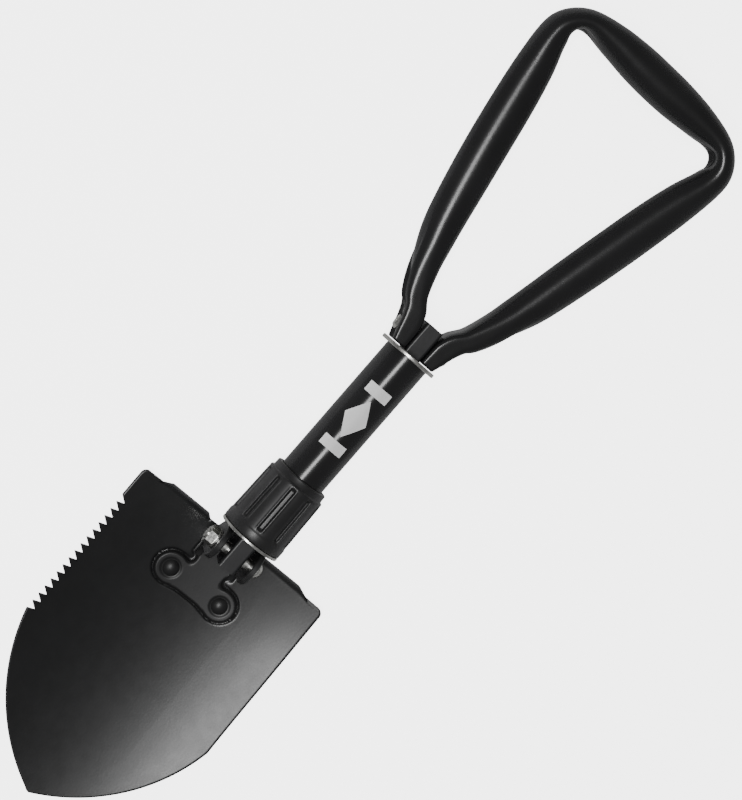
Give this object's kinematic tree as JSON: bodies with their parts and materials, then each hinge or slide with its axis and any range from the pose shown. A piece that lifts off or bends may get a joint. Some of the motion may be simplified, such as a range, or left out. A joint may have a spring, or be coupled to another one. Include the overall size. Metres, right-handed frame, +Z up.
{
  "type": "folding camp shovel",
  "caption": "Folding camp shovel with a saw-edged pointed blade, a sleeve-locked shaft with a screw collar, and a folding D-shaped tube handle.",
  "frame": {"origin": "bottom centre of the whole tool, laid on its back and fully open", "axes": "+X along the shaft from the blade to the grip, +Y towards the saw-toothed side, +Z up out of the blade's hollow side"},
  "size_m": [0.4705, 0.1222, 0.0433],
  "materials": {
    "blade_paint": "black powder coat on pressed steel, satin, fine orange peel",
    "bracket_paint": "black powder coat on bent steel, worn on the edges",
    "bar_paint": "black oxide and thin paint on bent steel channel",
    "sleeve_paint": "black gloss enamel on steel tube with a plain white printed badge",
    "handle_paint": "black semi-gloss enamel on bent steel tube",
    "collar_nylon": "black moulded nylon, faint grain",
    "zinc": "zinc plate, slightly dull and uneven",
    "ferrule_steel": "phosphated steel, dark grey"
  },
  "bodies": {
    "shaft": {"inner_bar": "bar_paint", "blade_bolt": "zinc", "blade_bolt_washer": "zinc", "blade_bolt_nut": "zinc", "handle_bolt": "zinc", "handle_bolt_washer": "zinc", "handle_bolt_nut": "zinc"},
    "blade_assembly": {"blade": "blade_paint", "blade_bracket": "bracket_paint", "blade_rivets": "bracket_paint"},
    "sleeve_assembly": {"sleeve": "sleeve_paint", "sleeve_ring": "zinc", "sleeve_ferrule": "ferrule_steel"},
    "collar_carrier": {"collar_washer": "zinc"},
    "collar_grip": {"collar": "collar_nylon"},
    "handle_assembly": {"handle": "handle_paint"}
  },
  "joints": [
    {"name": "blade_fold", "type": "hinge", "parent": "shaft", "child": "blade_assembly", "pos_m": [-0.0792, 0, 0.0265], "axis": [0, 1, 0], "range_deg": [0, 178]},
    {"name": "handle_fold", "type": "hinge", "parent": "shaft", "child": "handle_assembly", "pos_m": [0.0571, 0, 0.0265], "axis": [0, -1, 0], "range_deg": [0, 180]},
    {"name": "sleeve_slide", "type": "slide", "parent": "shaft", "child": "sleeve_assembly", "axis": [-1, 0, 0], "range_m": [0, 0.025]},
    {"name": "collar_travel", "type": "slide", "parent": "shaft", "child": "collar_carrier", "axis": [1, 0, 0], "range_m": [0, 0.003]},
    {"name": "collar_turn", "type": "hinge", "parent": "collar_carrier", "child": "collar_grip", "pos_m": [-0.0492, 0, 0.0265], "axis": [1, 0, 0], "range_deg": [0, 360]}
  ],
  "couplings": [
    {"joint": "sleeve_slide", "follows": "handle_fold", "m_per_rad": 0.0079576},
    {"joint": "collar_travel", "follows": "collar_turn", "m_per_rad": 0.0004774}
  ]
}
